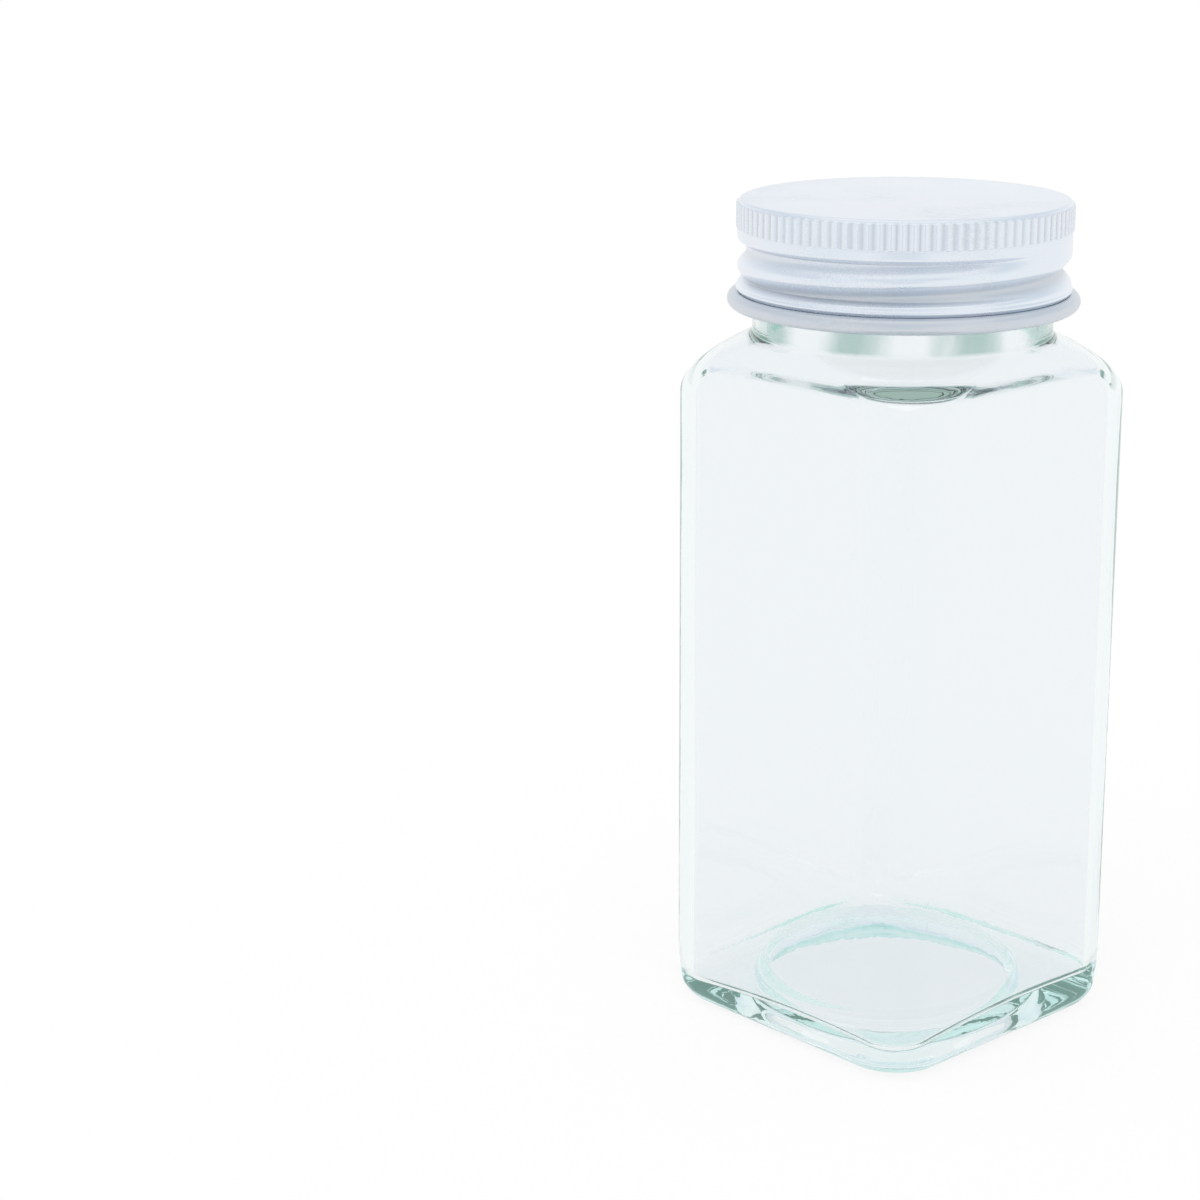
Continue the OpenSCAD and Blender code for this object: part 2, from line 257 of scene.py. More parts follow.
class Nodes:
    """A small wrapper that adds nodes to a tree and links them by socket name."""

    def __init__(self, tree: bpy.types.NodeTree) -> None:
        """Keeps the tree that the nodes go into."""
        self.tree = tree

    def put(self, value: object, socket: bpy.types.NodeSocket) -> None:
        """Links an output to a socket, or sets its constant: a colour is three numbers."""
        if isinstance(value, bpy.types.NodeSocket):
            self.tree.links.new(value, socket)
        else:
            socket.default_value = (*value, 1.0) if socket.type == "RGBA" else value

    def feed(self, node: bpy.types.Node, **inputs: object) -> None:
        """Fills inputs of a node.

        Args:
            node: The node.
            **inputs: Socket name, with _ for a space, or i and a number for its place, to a
                value or to another node's output.
        """
        for key, value in inputs.items():
            by_place = key[0] == "i" and key[1:].isdigit()
            self.put(value, node.inputs[int(key[1:]) if by_place else key.replace("_", " ")])

    def add(self, kind: str, settings: Optional[dict] = None, **inputs: object) -> bpy.types.Node:
        """Adds a node.

        Args:
            kind: The node's type name without the word ShaderNode.
            settings: Values of the node's own properties.
            **inputs: As feed takes them.

        Returns:
            The node.
        """
        node = self.tree.nodes.new("ShaderNode" + kind)
        for key, value in (settings or {}).items():
            setattr(node, key, value)
        self.feed(node, **inputs)
        return node

    def maths(self, operation: str, *values: object, clamp: bool = False) -> bpy.types.NodeSocket:
        """Adds a Math node and gives its output, with the values in order."""
        node = self.add("Math", {"operation": operation, "use_clamp": clamp})
        for socket, value in zip(node.inputs, values):
            self.put(value, socket)
        return node.outputs[0]

    def summed(self, base: float, *terms: tuple) -> bpy.types.NodeSocket:
        """The base plus, for each term, its output times its factor."""
        total = base
        for value, factor in terms:
            total = self.maths("MULTIPLY_ADD", value, factor, total)
        return total

    def blend(self, share: object, first: object, second: object,
              mode: str = "MIX") -> bpy.types.NodeSocket:
        """Adds a colour Mix node and gives its result.

        Args:
            share: Factor, a number or a socket.
            first: Colour at factor 0, of three numbers or a socket.
            second: Colour at factor 1, of three numbers or a socket.
            mode: Blend mode.

        Returns:
            The colour output.
        """
        settings = {"data_type": "RGBA", "blend_type": mode, "clamp_factor": True}
        return self.add("Mix", settings, i0=share, i6=first, i7=second).outputs[2]

    def step(self, value: bpy.types.NodeSocket, low: float, high: float) -> bpy.types.NodeSocket:
        """Smooth step of a value from 0 at low to 1 at high."""
        return self.add("MapRange", {"interpolation_type": "SMOOTHSTEP"}, Value=value,
                        From_Min=low, From_Max=high).outputs[0]

    def noise(self, where: bpy.types.NodeSocket, scale: object,
              detail: float) -> bpy.types.NodeSocket:
        """Noise from 0 to 1 at the coordinates."""
        return self.add("TexNoise", Vector=where, Scale=scale, Detail=detail).outputs[0]

    def coordinates(self, kind: str = "Object") -> bpy.types.NodeSocket:
        """Texture coordinates of a kind."""
        return self.add("TexCoord").outputs[kind]

    def mask(self, tree: bpy.types.NodeTree, where: bpy.types.NodeSocket,
             **numbers: float) -> bpy.types.NodeSocket:
        """Places a mask group at the coordinates, with its numbers, and gives its mask."""
        return self.add("Group", {"node_tree": tree}, Vector=where, **numbers).outputs["Mask"]

    def seen(self, ray: bpy.types.NodeOutputs) -> bpy.types.NodeSocket:
        """1 for rays of the eye, of mirrors and through glass, and 0 for all others."""
        eye = self.maths("MAXIMUM", ray["Is Camera Ray"], ray["Is Glossy Ray"])
        return self.maths("MAXIMUM", eye, ray["Is Transmission Ray"])


def empty_material(name: str) -> tuple:
    """Makes a material without nodes, and gives it with its Nodes."""
    material = bpy.data.materials.new(name)
    material.use_nodes = True
    material.node_tree.nodes.clear()
    return material, Nodes(material.node_tree)


def mask_group(name: str, numbers: tuple, fill: Callable) -> bpy.types.NodeTree:
    """Makes a shader node group once, with a Vector and numbers in and a Mask out.

    Args:
        name: Name of the group.
        numbers: Names of its number inputs.
        fill: Function of the Nodes and the input sockets that adds its inside and gives the
            mask's output.

    Returns:
        The group's tree.
    """
    if name in bpy.data.node_groups:
        return bpy.data.node_groups[name]
    tree = bpy.data.node_groups.new(name, "ShaderNodeTree")
    tree.interface.new_socket(name="Vector", in_out="INPUT", socket_type="NodeSocketVector")
    for key in numbers:
        tree.interface.new_socket(name=key, in_out="INPUT", socket_type="NodeSocketFloat")
    tree.interface.new_socket(name="Mask", in_out="OUTPUT", socket_type="NodeSocketFloat")
    given = tree.nodes.new("NodeGroupInput").outputs
    end = tree.nodes.new("NodeGroupOutput")
    tree.links.new(fill(Nodes(tree), given), end.inputs["Mask"])
    return tree


def mottle_group() -> bpy.types.NodeTree:
    """Slow unevenness: two noises of different size, added and spread round one half."""
    finer, fine_share = 3.1, 0.5
    wide_detail, fine_detail = 2.0, 3.0

    def fill(nodes: Nodes, given: bpy.types.NodeInputs) -> bpy.types.NodeSocket:
        """Sum of a wide noise and half of one three times finer, scaled by the strength."""
        wide = nodes.noise(given["Vector"], given["Scale"], wide_detail)
        small = nodes.maths("MULTIPLY", given["Scale"], finer)
        fine = nodes.noise(given["Vector"], small, fine_detail)
        total = nodes.maths("MULTIPLY_ADD", fine, fine_share, wide)
        off = nodes.maths("SUBTRACT", total, (1.0 + fine_share) / 2.0)
        return nodes.maths("MULTIPLY_ADD", off, given["Strength"], 0.5, clamp=True)

    return mask_group("slow_mottle", ("Scale", "Strength"), fill)


def handling_group() -> bpy.types.NodeTree:
    """Fine handling marks: short stretched scratches in two directions, in patches."""
    directions = ((0.5, (1.0, 14.0, 9.0)), (2.1, (11.0, 1.0, 16.0)))
    tip, bank = 0.2, 0.1
    thinness, line_detail = 22.0, 2.0
    patch_size, patch_detail, patch_from, patch_gain = 0.4, 1.0, 0.48, 5.0

    def fill(nodes: Nodes, given: bpy.types.NodeInputs) -> bpy.types.NodeSocket:
        """Noise drawn out along two directions, cut to thin lines, times a patchy mask."""
        lines = []
        for turn, stretch in directions:
            turned = nodes.add("Mapping", Vector=given["Vector"], Rotation=(tip, bank, turn),
                               Scale=stretch).outputs[0]
            noise = nodes.noise(turned, given["Scale"], line_detail)
            away = nodes.maths("ABSOLUTE", nodes.maths("SUBTRACT", noise, 0.5))
            lines.append(nodes.maths("MULTIPLY_ADD", away, -thinness, 1.0, clamp=True))
        wide = nodes.maths("MULTIPLY", given["Scale"], patch_size)
        patch = nodes.noise(given["Vector"], wide, patch_detail)
        off = nodes.maths("SUBTRACT", patch, patch_from)
        sparse = nodes.maths("MULTIPLY", off, patch_gain, clamp=True)
        return nodes.maths("MULTIPLY", nodes.maths("MAXIMUM", *lines), sparse)

    return mask_group("handling_marks", ("Scale",), fill)


def painted_refraction_group() -> bpy.types.NodeTree:
    """Painted dark refraction: patches round a low band of the neck, two to a corner, broken up by
    noise.
    """
    waves_per_turn, noise_gain, noise_detail = 4.0, 2.0, 3.0
    drawn_out = (1.0, 1.0, 0.3)
    patch_low, patch_high, edge_gain = 0.3, 1.0, 5.0

    def fill(nodes: Nodes, given: bpy.types.NodeInputs) -> bpy.types.NodeSocket:
        """The absolute sine of four times the direction, times noise, within the band."""
        parts = nodes.add("SeparateXYZ", Vector=given["Vector"]).outputs
        turn = nodes.maths("ARCTAN2", parts["Y"], parts["X"])
        wave = nodes.maths("SINE", nodes.maths("MULTIPLY", turn, waves_per_turn))
        drawn = nodes.add("Mapping", Vector=given["Vector"], Scale=drawn_out).outputs[0]
        noise = nodes.noise(drawn, given["Scale"], noise_detail)
        noise = nodes.maths("MULTIPLY", noise, noise_gain)
        lobes = nodes.maths("MULTIPLY", nodes.maths("ABSOLUTE", wave), noise)
        off = nodes.maths("ABSOLUTE", nodes.maths("SUBTRACT", parts["Z"], given["Middle"]))
        inside = nodes.maths("SUBTRACT", 1.0, nodes.maths("DIVIDE", off, given["Half"]))
        band = nodes.maths("MULTIPLY", inside, edge_gain, clamp=True)
        return nodes.maths("MULTIPLY", nodes.step(lobes, patch_low, patch_high), band)

    return mask_group("neck_painted_refraction", ("Scale", "Middle", "Half"), fill)


# Finishes. Scales are per metre and heights in metres.


@dataclass(frozen=True)
class Finish:
    """What every finish has: a name and the way to start its material."""

    name: str

    def start(self) -> tuple:
        """Makes the material with its surface.

        Returns:
            The material, its Nodes, its Principled BSDF, its Object coordinate and its output.
        """
        material, nodes = empty_material(self.name)
        shader = nodes.add("BsdfPrincipled")
        output = nodes.add("OutputMaterial", Surface=shader.outputs[0])
        return material, nodes, shader, nodes.coordinates(), output


@dataclass(frozen=True)
class GlassFinish(Finish):
    """Clear soda-lime glass, faintly green through its thickness, with blown waviness, painted dark
    refraction round the neck and a painted glow on long paths in the wall.
    """

    tint: tuple = (0.944, 0.953, 0.966)
    # Painted dark refraction: greener patches round a low band of the neck
    painted_refraction_tint: tuple = (0.47, 0.61, 0.58)
    painted_refraction_scale: float = 170.0
    painted_refraction_middle: float = 0.09705
    painted_refraction_half: float = 0.00165
    index: float = 1.52
    roughness: float = 0.004
    marks_rough: float = 0.03
    marks_scale: float = 120.0
    wave_scale: float = 55.0
    wave_strength: float = 0.5
    wave_height: float = 0.00012
    body_colour: tuple = (0.3, 0.84, 0.77)
    body_density: float = 12.5
    # Painted light: tones the glass glows with on rays long in the wall; the darkest paints streaks
    # low down
    trapped_glow_tone: tuple = (0.22, 0.3, 0.275)
    upper_glow_tone: tuple = (0.38, 0.47, 0.43)
    tone_low: float = 0.02
    tone_rise: float = 0.04
    behind_glow_tone: tuple = (0.93, 0.95, 0.93)
    behind_depth: float = 2.5
    escaped_glow_tone: tuple = (0.84, 0.9, 0.9)
    trapped_glossy: float = 4.5
    trapped_depth: float = 12.5

    def material(self) -> bpy.types.Material:
        """Makes the material: a transmitting Principled surface over an absorbing volume."""
        material, nodes, shader, where, output = self.start()
        mottle = nodes.mask(mottle_group(), where, Scale=self.wave_scale, Strength=1.0)
        marks = nodes.mask(handling_group(), where, Scale=self.marks_scale)
        # Painted dark refraction on the neck, mixed into the glass colour
        painted_refraction = nodes.mask(painted_refraction_group(), where, Scale=self.painted_refraction_scale,
                           Middle=self.painted_refraction_middle, Half=self.painted_refraction_half)
        bump = nodes.add("Bump", Strength=self.wave_strength, Distance=self.wave_height,
                         Height=mottle)
        nodes.feed(shader, Base_Color=nodes.blend(painted_refraction, self.tint, self.painted_refraction_tint),
                   IOR=self.index, Transmission_Weight=1.0,
                   Roughness=nodes.summed(self.roughness, (marks, self.marks_rough)),
                   Normal=bump.outputs[0])
        self._paint_trapped_light(nodes, shader, where)
        material.cycles.emission_sampling = "NONE"
        volume = nodes.add("VolumeAbsorption", Color=self.body_colour, Density=self.body_density)
        nodes.feed(output, Volume=volume.outputs[0])
        return material

    def _paint_trapped_light(self, nodes: Nodes, shader: bpy.types.Node,
                     where: bpy.types.NodeSocket) -> None:
        """Paints light into the glass where a ray has turned in the wall more often than it is
        followed.

        The painted glow is pale where the light would leave the glass there, and green where it
        would turn once more, which is darker in the glass that the eye looks straight into than
        behind a wall, and darkest low down, where the glass is thickest; it paints the heel's dark
        streaks.

        Args:
            nodes: The material's nodes.
            shader: Its Principled BSDF.
            where: Coordinates.
        """
        ray = nodes.add("LightPath").outputs
        turned = nodes.maths("GREATER_THAN", ray["Glossy Depth"], self.trapped_glossy)
        passed = nodes.maths("GREATER_THAN", ray["Ray Depth"], self.trapped_depth)
        behind = nodes.maths("GREATER_THAN", ray["Transmission Depth"], self.behind_depth)
        turns_again = nodes.add("Fresnel", IOR=self.index).outputs[0]
        height = nodes.add("SeparateXYZ", Vector=where).outputs["Z"]
        above = nodes.maths("SUBTRACT", height, self.tone_low)
        up = nodes.maths("DIVIDE", above, self.tone_rise, clamp=True)
        tone = nodes.blend(up, self.trapped_glow_tone, self.upper_glow_tone)
        tone = nodes.blend(behind, tone, self.behind_glow_tone)
        # Painted light: the glass glows in place of the light of cut-off paths
        nodes.feed(shader, Emission_Color=nodes.blend(turns_again, self.escaped_glow_tone, tone),
                   Emission_Strength=nodes.maths("MAXIMUM", turned, passed))


@dataclass(frozen=True)
class MetalFinish(Finish):
    """Bright lacquered aluminium, rougher in its grooves, with painted shade and fine handling
    marks.
    """

    tint: tuple = (0.77, 0.84, 0.9)
    # Dark tint of the painted shade, also used for the handling marks
    hollow_tint: tuple = (0.36, 0.38, 0.41)
    patch_tint: tuple = (0.82, 0.85, 0.91)
    patch_scale: float = 42.0
    patch_strength: float = 1.6
    marks_scale: float = 150.0
    marks_share: float = 0.12
    roughness: float = 0.24
    patch_rough: float = 0.06
    hollow_rough: float = 0.2
    marks_rough: float = 0.12
    grain_scale: float = 2600.0
    grain_detail: float = 2.0
    grain_share: float = 0.4
    bump_strength: float = 0.35
    bump_height: float = 0.000006

    def material(self) -> bpy.types.Material:
        """Metallic Principled surface, darkened by painted shade and varied by slow patches."""
        material, nodes, shader, where, _ = self.start()
        hollow = nodes.add("Attribute", {"attribute_name": "hollow"}).outputs["Fac"]
        patches = nodes.mask(mottle_group(), where, Scale=self.patch_scale,
                             Strength=self.patch_strength)
        marks = nodes.mask(handling_group(), where, Scale=self.marks_scale)
        faint = nodes.maths("MULTIPLY", marks, self.marks_share)
        colour = nodes.blend(patches, self.tint, self.patch_tint)
        # Handling marks and the painted shade darken the colour towards the same tint
        for share in (faint, hollow):
            colour = nodes.blend(share, colour, self.hollow_tint)
        rough = nodes.summed(self.roughness - self.patch_rough / 2.0, (patches, self.patch_rough),
                             (hollow, self.hollow_rough), (marks, self.marks_rough))
        grain = nodes.maths("MULTIPLY", nodes.noise(where, self.grain_scale, self.grain_detail),
                            self.grain_share)
        bump = nodes.add("Bump", Strength=self.bump_strength, Distance=self.bump_height,
                         Height=nodes.maths("SUBTRACT", grain, marks))
        nodes.feed(shader, Base_Color=colour, Metallic=1.0, Roughness=rough,
                   Normal=bump.outputs[0])
        return material


@dataclass(frozen=True)
class PlasticFinish(Finish):
    """Natural polypropylene: milky white, waxy, with moulding mottle."""

    tint: tuple = (0.93, 0.94, 0.93)
    deep_tint: tuple = (0.87, 0.89, 0.885)
    mottle_scale: float = 110.0
    mottle_strength: float = 1.2
    marks_scale: float = 160.0
    roughness: float = 0.36
    mottle_rough: float = 0.12
    marks_rough: float = 0.1
    bump_strength: float = 0.3
    bump_height: float = 0.00003
    scatter: float = 0.35
    scatter_colour: tuple = (1.0, 1.0, 0.95)
    scatter_reach: float = 0.0012

    def material(self) -> bpy.types.Material:
        """Principled surface with light scattered under it."""
        material, nodes, shader, where, _ = self.start()
        mottle = nodes.mask(mottle_group(), where, Scale=self.mottle_scale,
                            Strength=self.mottle_strength)
        marks = nodes.mask(handling_group(), where, Scale=self.marks_scale)
        rough = nodes.summed(self.roughness, (mottle, self.mottle_rough),
                             (marks, self.marks_rough))
        bump = nodes.add("Bump", Strength=self.bump_strength, Distance=self.bump_height,
                         Height=mottle)
        nodes.feed(shader, Base_Color=nodes.blend(mottle, self.deep_tint, self.tint),
                   Roughness=rough, Normal=bump.outputs[0], Subsurface_Weight=self.scatter,
                   Subsurface_Radius=self.scatter_colour, Subsurface_Scale=self.scatter_reach)
        return material


@dataclass(frozen=True)
class FoamFinish(Finish):
    """Foamed polyethylene: matt, slightly warm white, with small closed cells."""

    tint: tuple = (0.95, 0.95, 0.94)
    cell_tint: tuple = (0.86, 0.86, 0.84)
    cell_scale: float = 2200.0
    mottle_scale: float = 160.0
    roughness: float = 0.7
    bump_strength: float = 0.4
    bump_height: float = 0.00005

    def material(self) -> bpy.types.Material:
        """Principled surface with a cell pattern in its colour and height."""
        material, nodes, shader, where, _ = self.start()
        cells = nodes.add("TexVoronoi", {"feature": "SMOOTH_F1"}, Vector=where,
                          Scale=self.cell_scale).outputs["Distance"]
        mottle = nodes.mask(mottle_group(), where, Scale=self.mottle_scale, Strength=1.0)
        share = nodes.maths("MULTIPLY", cells, mottle)
        bump = nodes.add("Bump", Strength=self.bump_strength, Distance=self.bump_height,
                         Height=cells)
        nodes.feed(shader, Base_Color=nodes.blend(share, self.tint, self.cell_tint),
                   Roughness=self.roughness, Normal=bump.outputs[0])
        return material


# The jar


@dataclass(frozen=True)
class Shoulder:
    """How one skin of the shoulder runs from the square body to the round neck.

    Attributes:
        low: Height at which the corners turn in.
        rise: Height of the shoulder.
        face: Half-width below it.
        diagonal: Reach of the corners below it.
        throat: Radius of the neck or bore that it runs into.
        fillet: Width over which it does.
        bend: Power of the height share by which the reach falls, 2 for a parabola.
    """

    low: float
    rise: float
    face: float
    diagonal: float
    throat: float
    fillet: float
    bend: float


@dataclass
class GlassJar:
    """The blown square jar: body, shoulder, neck with its thread, floor and push-up.

    Lengths are in millimetres and angles in degrees.
    """

    # Outside of the body and the shoulder
    half_w: float = 22.5
    corner_r: float = 5.6
    base_corner_r: float = 7.0
    base_blend_h: float = 8.0
    heel_r: float = 3.0
    body_h: float = 87.3
    shoulder_rise: float = 8.3
    shoulder_end: float = 1.16
    face_rise: float = 2.2
    bend: float = 2.0
    fillet: float = 0.6
    tuck: float = 0.32
    # Push-up: margins of its fine rings, and leans as a rise per length towards +X +Y
    push_up_r: float = 17.3
    push_up_h: float = 2.9
    push_up_lean: float = 0.065
    push_up_fall: float = 2.5
    push_up_round: float = 1.0
    push_up_margin: float = 1.0
    foot_margin: float = 0.5
    # Inside of the body and the shoulder
    wall: float = 1.6
    inner_corner_r: float = 5.0
    inner_bend: float = 2.5
    inner_fillet: float = 1.1
    inner_drop_share: float = 0.4
    inner_end: float = 1.14
    throat_drop: float = 1.1
    ledge_share: float = 0.28
    ledge_at: float = 0.57
    ledge_half: float = 0.11
    ledge_turn: float = 225.0
    ledge_from: float = 0.35
    ledge_fade: float = 0.3
    # Slow waves of the inner wall: length, times round and phase of each
    unevenness: float = 0.1
    waves: tuple = ((8.3, 2.0, 0.0), (13.7, -3.0, 1.1))
    wave_fade: float = 12.0
    # Inner heel, moat and floor
    inner_heel_r: float = 1.6
    heel_gap: float = 1.0
    moat_z: float = 5.1
    moat_fall: float = 0.13
    moat_lean: float = 1.2
    moat_round: float = 1.0
    floor_z: float = 6.0
    floor_r: float = 16.8
    floor_fall: float = 2.2
    floor_crown: float = 0.2
    floor_round: float = 1.2
    floor_lean: float = 0.08
    floor_margin: float = 0.9
    # Neck, rim and thread
    neck_r: float = 19.9
    bore_r: float = 18.0
    bore_foot: float = 1.2
    rim_z: float = 111.0
    rim_round: float = 0.6
    mouth_round: float = 0.4
    thread_foot_z: float = 103.6
    thread_depth: float = 1.0
    thread_pitch: float = 4.233
    thread_turns: float = 1.15
    thread_crest_w: float = 0.9
    thread_root_w: float = 2.2
    thread_drop: float = 1.7
    thread_angle: float = 230.0
    fade_share: float = 0.09
    # Columns of a quarter, and rings of each part from the push-up round to the floor
    corner_columns: int = 44
    flat_columns: int = 16
    flat_turn: float = 5.5
    push_up_rings: int = 12
    push_up_edge_rings: int = 32
    foot_rings: int = 6
    heel_rings: int = 16
    low_wall_rings: int = 8
    wall_rings: int = 26
    shoulder_rings: int = 64
    neck_rings: int = 12
    thread_rings: int = 50
    rim_rings: int = 8
    mouth_rings: int = 6
    bore_rings: int = 10
    inner_wall_rings: int = 34
    drop_rings: int = 7
    inner_heel_rings: int = 20
    moat_rings: int = 26
    floor_rings: int = 14

    def build(self, finish: GlassFinish) -> bpy.types.Object:
        """Builds the glass as one closed skin, from the push-up round the rim to the floor.

        Args:
            finish: The glass.

        Returns:
            The jar.
        """
        skin = RingSkin()
        skin.pole(self.push_up_h + self.floor_crown)
        for rows in (self._base(), self._walls(), self._neck(), self._rim(), self._inside()):
            skin.add(rows)
        skin.pole(self.floor_z + self.floor_crown)
        piece = skin.build("jar_glass")
        place(piece, Body.JAR, "glass_jar", finish.material())
        return piece

    def _columns(self) -> tuple:
        """Directions and square points of one ring.

        On a corner the direction turns at a fixed corner of the unit square. On a flat the
        point slides to the next corner while the direction turns by twice a few degrees, so
        that no two points meet where the ring is round.

        Returns:
            Directions in degrees, and the square's x and y, as flat arrays.
        """
        slide = np.linspace(0.0, 1.0, self.flat_columns, endpoint=False)
        share = np.concatenate([np.zeros(self.corner_columns), slide])
        turns, xs, ys = [], [], []
        for quarter in range(4):
            start = QUARTER_TURN * quarter
            corner = math.radians(start + QUARTER_TURN / 2.0)
            after = corner + math.pi / 2.0
            ends = (start + self.flat_turn, start + QUARTER_TURN - self.flat_turn)
            turns.append(np.linspace(*ends, self.corner_columns, endpoint=False))
            turns.append(ends[1] + 2.0 * self.flat_turn * slide)
            xs.append(ROOT2 * (math.cos(corner) * (1.0 - share) + math.cos(after) * share))
            ys.append(ROOT2 * (math.sin(corner) * (1.0 - share) + math.sin(after) * share))
        return np.concatenate(turns), np.concatenate(xs), np.concatenate(ys)

    def _rings(self, z: np.ndarray, face: np.ndarray, diagonal: np.ndarray,
               push: Optional[np.ndarray] = None) -> np.ndarray:
        """Level rings that reach `face` along X and Y and `diagonal` towards the corners.

        The corner radius is (face times root two less diagonal) over (root two less one); the
        ring is a square of what is left, plus that radius along the column's direction. Each
        of the first three is one value a ring or one for all.

        Args:
            z: Heights.
            face: Half-widths.
            diagonal: Reaches at the corners.
            push: Extra reach of each ring and column, or None.

        Returns:
            Rings by columns by three.
        """
        turns, sx, sy = self._columns()
        z, face, diagonal = np.broadcast_arrays(z, face, diagonal)
        corner = np.minimum((face * ROOT2 - diagonal) / (ROOT2 - 1.0), face)[:, None]
        square = face[:, None] - corner
        reach = corner if push is None else corner + push
        x = square * sx + reach * np.cos(np.radians(turns))
        y = square * sy + reach * np.sin(np.radians(turns))
        return np.stack([x, y, np.broadcast_to(z[:, None], x.shape)], axis=2)

    @staticmethod
    def _diagonal(face: np.ndarray, corner: np.ndarray) -> np.ndarray:
        """Reach at the corners of a square of half-width face with rounded corners."""
        return face * ROOT2 - corner * (ROOT2 - 1.0)

    def _outer_corner(self, z: np.ndarray) -> np.ndarray:
        """Corner radius at a height: it eases from the base's to the body's."""
        more = self.base_corner_r - self.corner_r
        return self.corner_r + more * (1.0 - smooth(z / self.base_blend_h))

    def _base(self) -> np.ndarray:
        """The push-up, the flat bearing ring and the rounded heel, outwards and up.

        The push-up is the smaller of a crown, which leans like the floor, and a cone, and the
        larger of that and nought, with both changes rounded. The heel is a quarter circle in
        the wall's section.
        """
        edge = self.push_up_r - self.push_up_h / self.push_up_fall
        fine = edge - self.push_up_margin
        rim = self.push_up_r + self.foot_margin
        r = np.concatenate([between(0.0, fine, self.push_up_rings),
                            between(fine, rim, self.push_up_edge_rings)])
        dome = self._rings(0.0, r, r)
        lean = self.push_up_lean * (dome[:, :, 0] + dome[:, :, 1]) / ROOT2
        crown = self.push_up_h + self.floor_crown * (1.0 - (r / edge) ** 2)[:, None] + lean
        cone = (self.push_up_fall * (self.push_up_r - r))[:, None]
        top = round_min(crown, cone, self.push_up_round)
        dome[:, :, 2] = round_max(top, 0.0, self.push_up_round)
        low_face = self.half_w - self.heel_r
        low_diagonal = self._diagonal(low_face, self.base_corner_r)
        flat = self._rings(0.0, between(rim, low_face, self.foot_rings),
                           between(rim, low_diagonal, self.foot_rings))
        a = np.radians(between(0.0, QUARTER_TURN, self.heel_rings))
        z = self.heel_r * (1.0 - np.cos(a))
        face = self.half_w - self.heel_r * (1.0 - np.sin(a))
        heel = self._rings(z, face, self._diagonal(face, self._outer_corner(z)))
        return np.concatenate([dome, flat, heel])

    def _walls(self) -> np.ndarray:
        """The body's walls and the shoulder.

        Faces and corners of the shoulder fall as parabolas, the corners from the first rise on
        and the faces a little later, and both run into the neck over a rounded fillet.
        """
        z = np.concatenate([between(self.heel_r, self.base_blend_h, self.low_wall_rings),
                            between(self.base_blend_h, self.body_h, self.wall_rings)])
        wall = self._rings(z, self.half_w, self._diagonal(self.half_w, self._outer_corner(z)))
        shape = Shoulder(self.body_h, self.shoulder_rise, self.half_w,
                         self._diagonal(self.half_w, self.corner_r), self.neck_r, self.fillet,
                         self.bend)
        u = between(0.0, self.shoulder_end, self.shoulder_rings)
        return np.concatenate([wall, self._shoulder(u, shape)])

    def _shoulder(self, u: np.ndarray, shape: Shoulder, ledge: float = 0.0) -> np.ndarray:
        """Shoulder rings at the height shares u.

        Args:
            u: Shares of the rise, past 1 within the neck.
            shape: The shoulder's sizes.
            ledge: Share of the fall that is made over a short rise instead.

        Returns:
            Rings by columns by three.
        """
        v = np.clip(shape.rise * u - self.face_rise, 0.0, None) / (shape.rise - self.face_rise)
        end = shape.throat - self.tuck
        step = ledge * smooth((u - self.ledge_at) / (2.0 * self.ledge_half) + 0.5)
        reaches = []
        for start, share in ((shape.face, v), (shape.diagonal, u)):
            left = 1.0 - (1.0 - ledge) * share ** shape.bend - step
            reaches.append(round_max(end + (start - end) * left, shape.throat, shape.fillet))
        return self._rings(shape.low + shape.rise * u, *reaches)

    def _neck(self) -> np.ndarray:
        """The neck with its thread, which stands out by a smooth trapezoid faded at its ends."""
        start = self.body_h + self.shoulder_rise * self.shoulder_end
        top = self.rim_z - self.rim_round
        z = np.concatenate([between(start, self.thread_foot_z, self.neck_rings),
                            between(self.thread_foot_z, top, self.thread_rings)])
        turns, _, _ = self._columns()
        flank = (self.thread_root_w - self.thread_crest_w) / 2.0
        push = np.zeros((len(z), len(turns)))
        for lap in range(-math.ceil(self.thread_turns) - 1, 1):
            ahead = (turns[None, :] - self.thread_angle) / FULL_TURN + lap
            middle = self.rim_z - self.thread_drop + self.thread_pitch * ahead
            off = np.abs(z[:, None] - middle)
            ridge = smooth((self.thread_root_w / 2.0 - off) / flank)
            fade = window(1.0 + ahead / self.thread_turns, 0.0, 1.0, self.fade_share)
            push = np.maximum(push, self.thread_depth * ridge * fade)
        return self._rings(z, self.neck_r, self.neck_r, push)

    def _rim(self) -> np.ndarray:
        """The rim: a rounded outer edge, a flat top and an eased inner edge, then the bore."""
        outer = arc(self.neck_r - self.rim_round, self.rim_z - self.rim_round, self.rim_round,
                    0.0, QUARTER_TURN, self.rim_rings)[1:]
        ease = self.mouth_round
        inner = arc(self.bore_r + ease, self.rim_z - ease, ease,
                    QUARTER_TURN, 2.0 * QUARTER_TURN, self.mouth_rings)
        bore_z = between(self.rim_z - ease, self._throat_z() + self.bore_foot, self.bore_rings)
        bore = np.stack([np.full_like(bore_z, self.bore_r), bore_z], axis=1)
        r, z = np.concatenate([outer, inner, bore]).T
        return self._rings(z, r, r)

    def _throat_z(self) -> float:
        """Height at which the inner shoulder meets the bore."""
        return self.body_h + self.shoulder_rise - self.throat_drop

